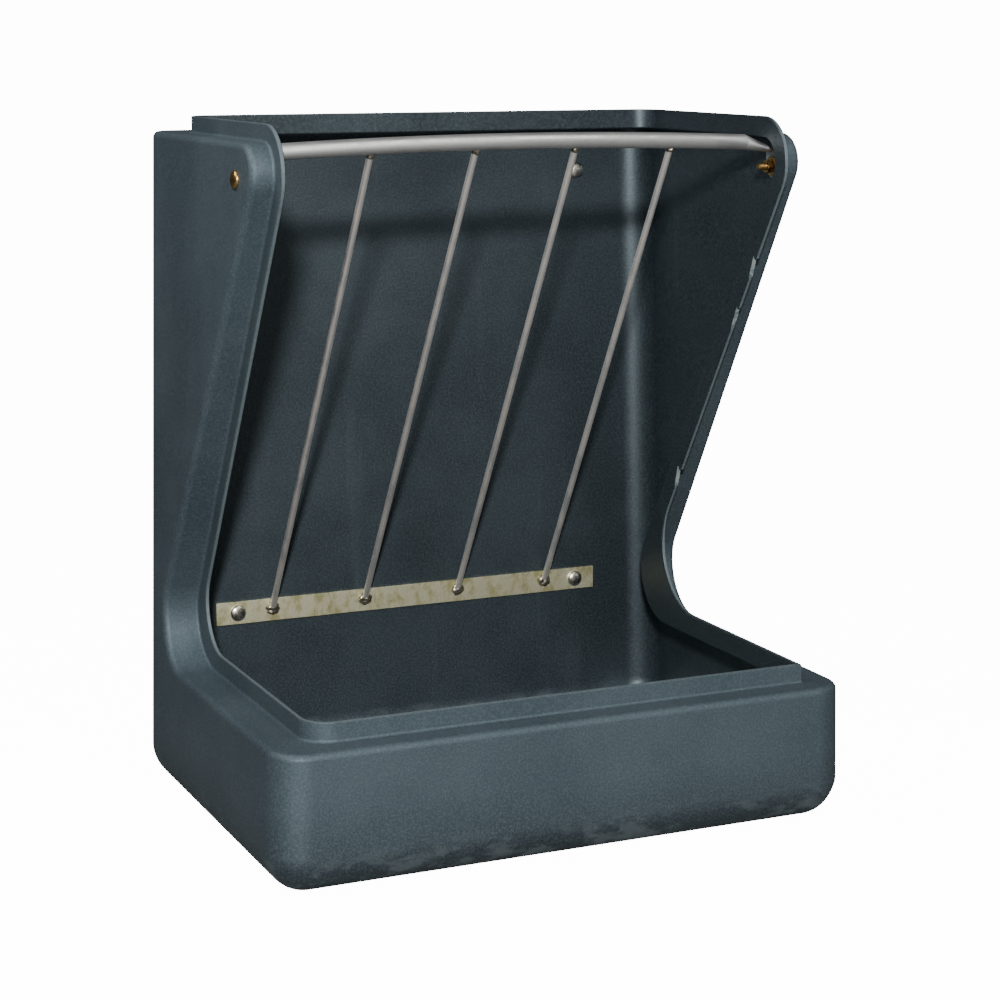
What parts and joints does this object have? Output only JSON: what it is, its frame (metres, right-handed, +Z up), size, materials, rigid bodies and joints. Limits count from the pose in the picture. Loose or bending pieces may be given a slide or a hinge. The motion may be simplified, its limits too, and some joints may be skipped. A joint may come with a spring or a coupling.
{
  "type": "hay rack feeder",
  "caption": "Moulded plastic wall feeder with a hay hopper behind slanted steel rods and an open trough below them.",
  "frame": {"origin": "middle of the moulded base, on the floor", "axes": "+Z up, -Y towards the open front, +X to the right as seen by a person facing the open front"},
  "size_m": [0.6264, 0.4712, 0.722],
  "materials": {
    "plastic": "satin",
    "galvanised": "satin",
    "zinc_strip": "satin",
    "bright_steel": "satin",
    "weld": "satin",
    "zinc_fastener": "satin",
    "yellow_zinc": "satin"
  },
  "bodies": {
    "root": {"feeder_body": "plastic", "top_rail": "galvanised", "lower_bar": "zinc_strip", "rack_rod_1": "bright_steel", "rack_rod_2": "bright_steel", "rack_rod_3": "bright_steel", "rack_rod_4": "bright_steel", "rod_head_weld_1": "weld", "rod_head_weld_2": "weld", "rod_head_weld_3": "weld", "rod_head_weld_4": "weld", "rod_foot_weld_1": "weld", "rod_foot_weld_2": "weld", "rod_foot_weld_3": "weld", "rod_foot_weld_4": "weld", "wall_bolt_lower_left": "zinc_fastener", "wall_washer_lower_left": "zinc_fastener", "wall_nut_lower_left": "zinc_fastener", "wall_bolt_lower_right": "zinc_fastener", "wall_washer_lower_right": "zinc_fastener", "wall_nut_lower_right": "zinc_fastener", "wall_bolt_upper_left": "zinc_fastener", "wall_washer_upper_left": "zinc_fastener", "wall_nut_upper_left": "zinc_fastener", "wall_bolt_upper_right": "zinc_fastener", "wall_washer_upper_right": "zinc_fastener", "wall_nut_upper_right": "zinc_fastener", "rail_bolt_left": "yellow_zinc", "rail_washer_left": "yellow_zinc", "rail_nut_left": "yellow_zinc", "rail_bolt_right": "yellow_zinc", "rail_washer_right": "yellow_zinc", "rail_nut_right": "yellow_zinc"}
  },
  "joints": []
}
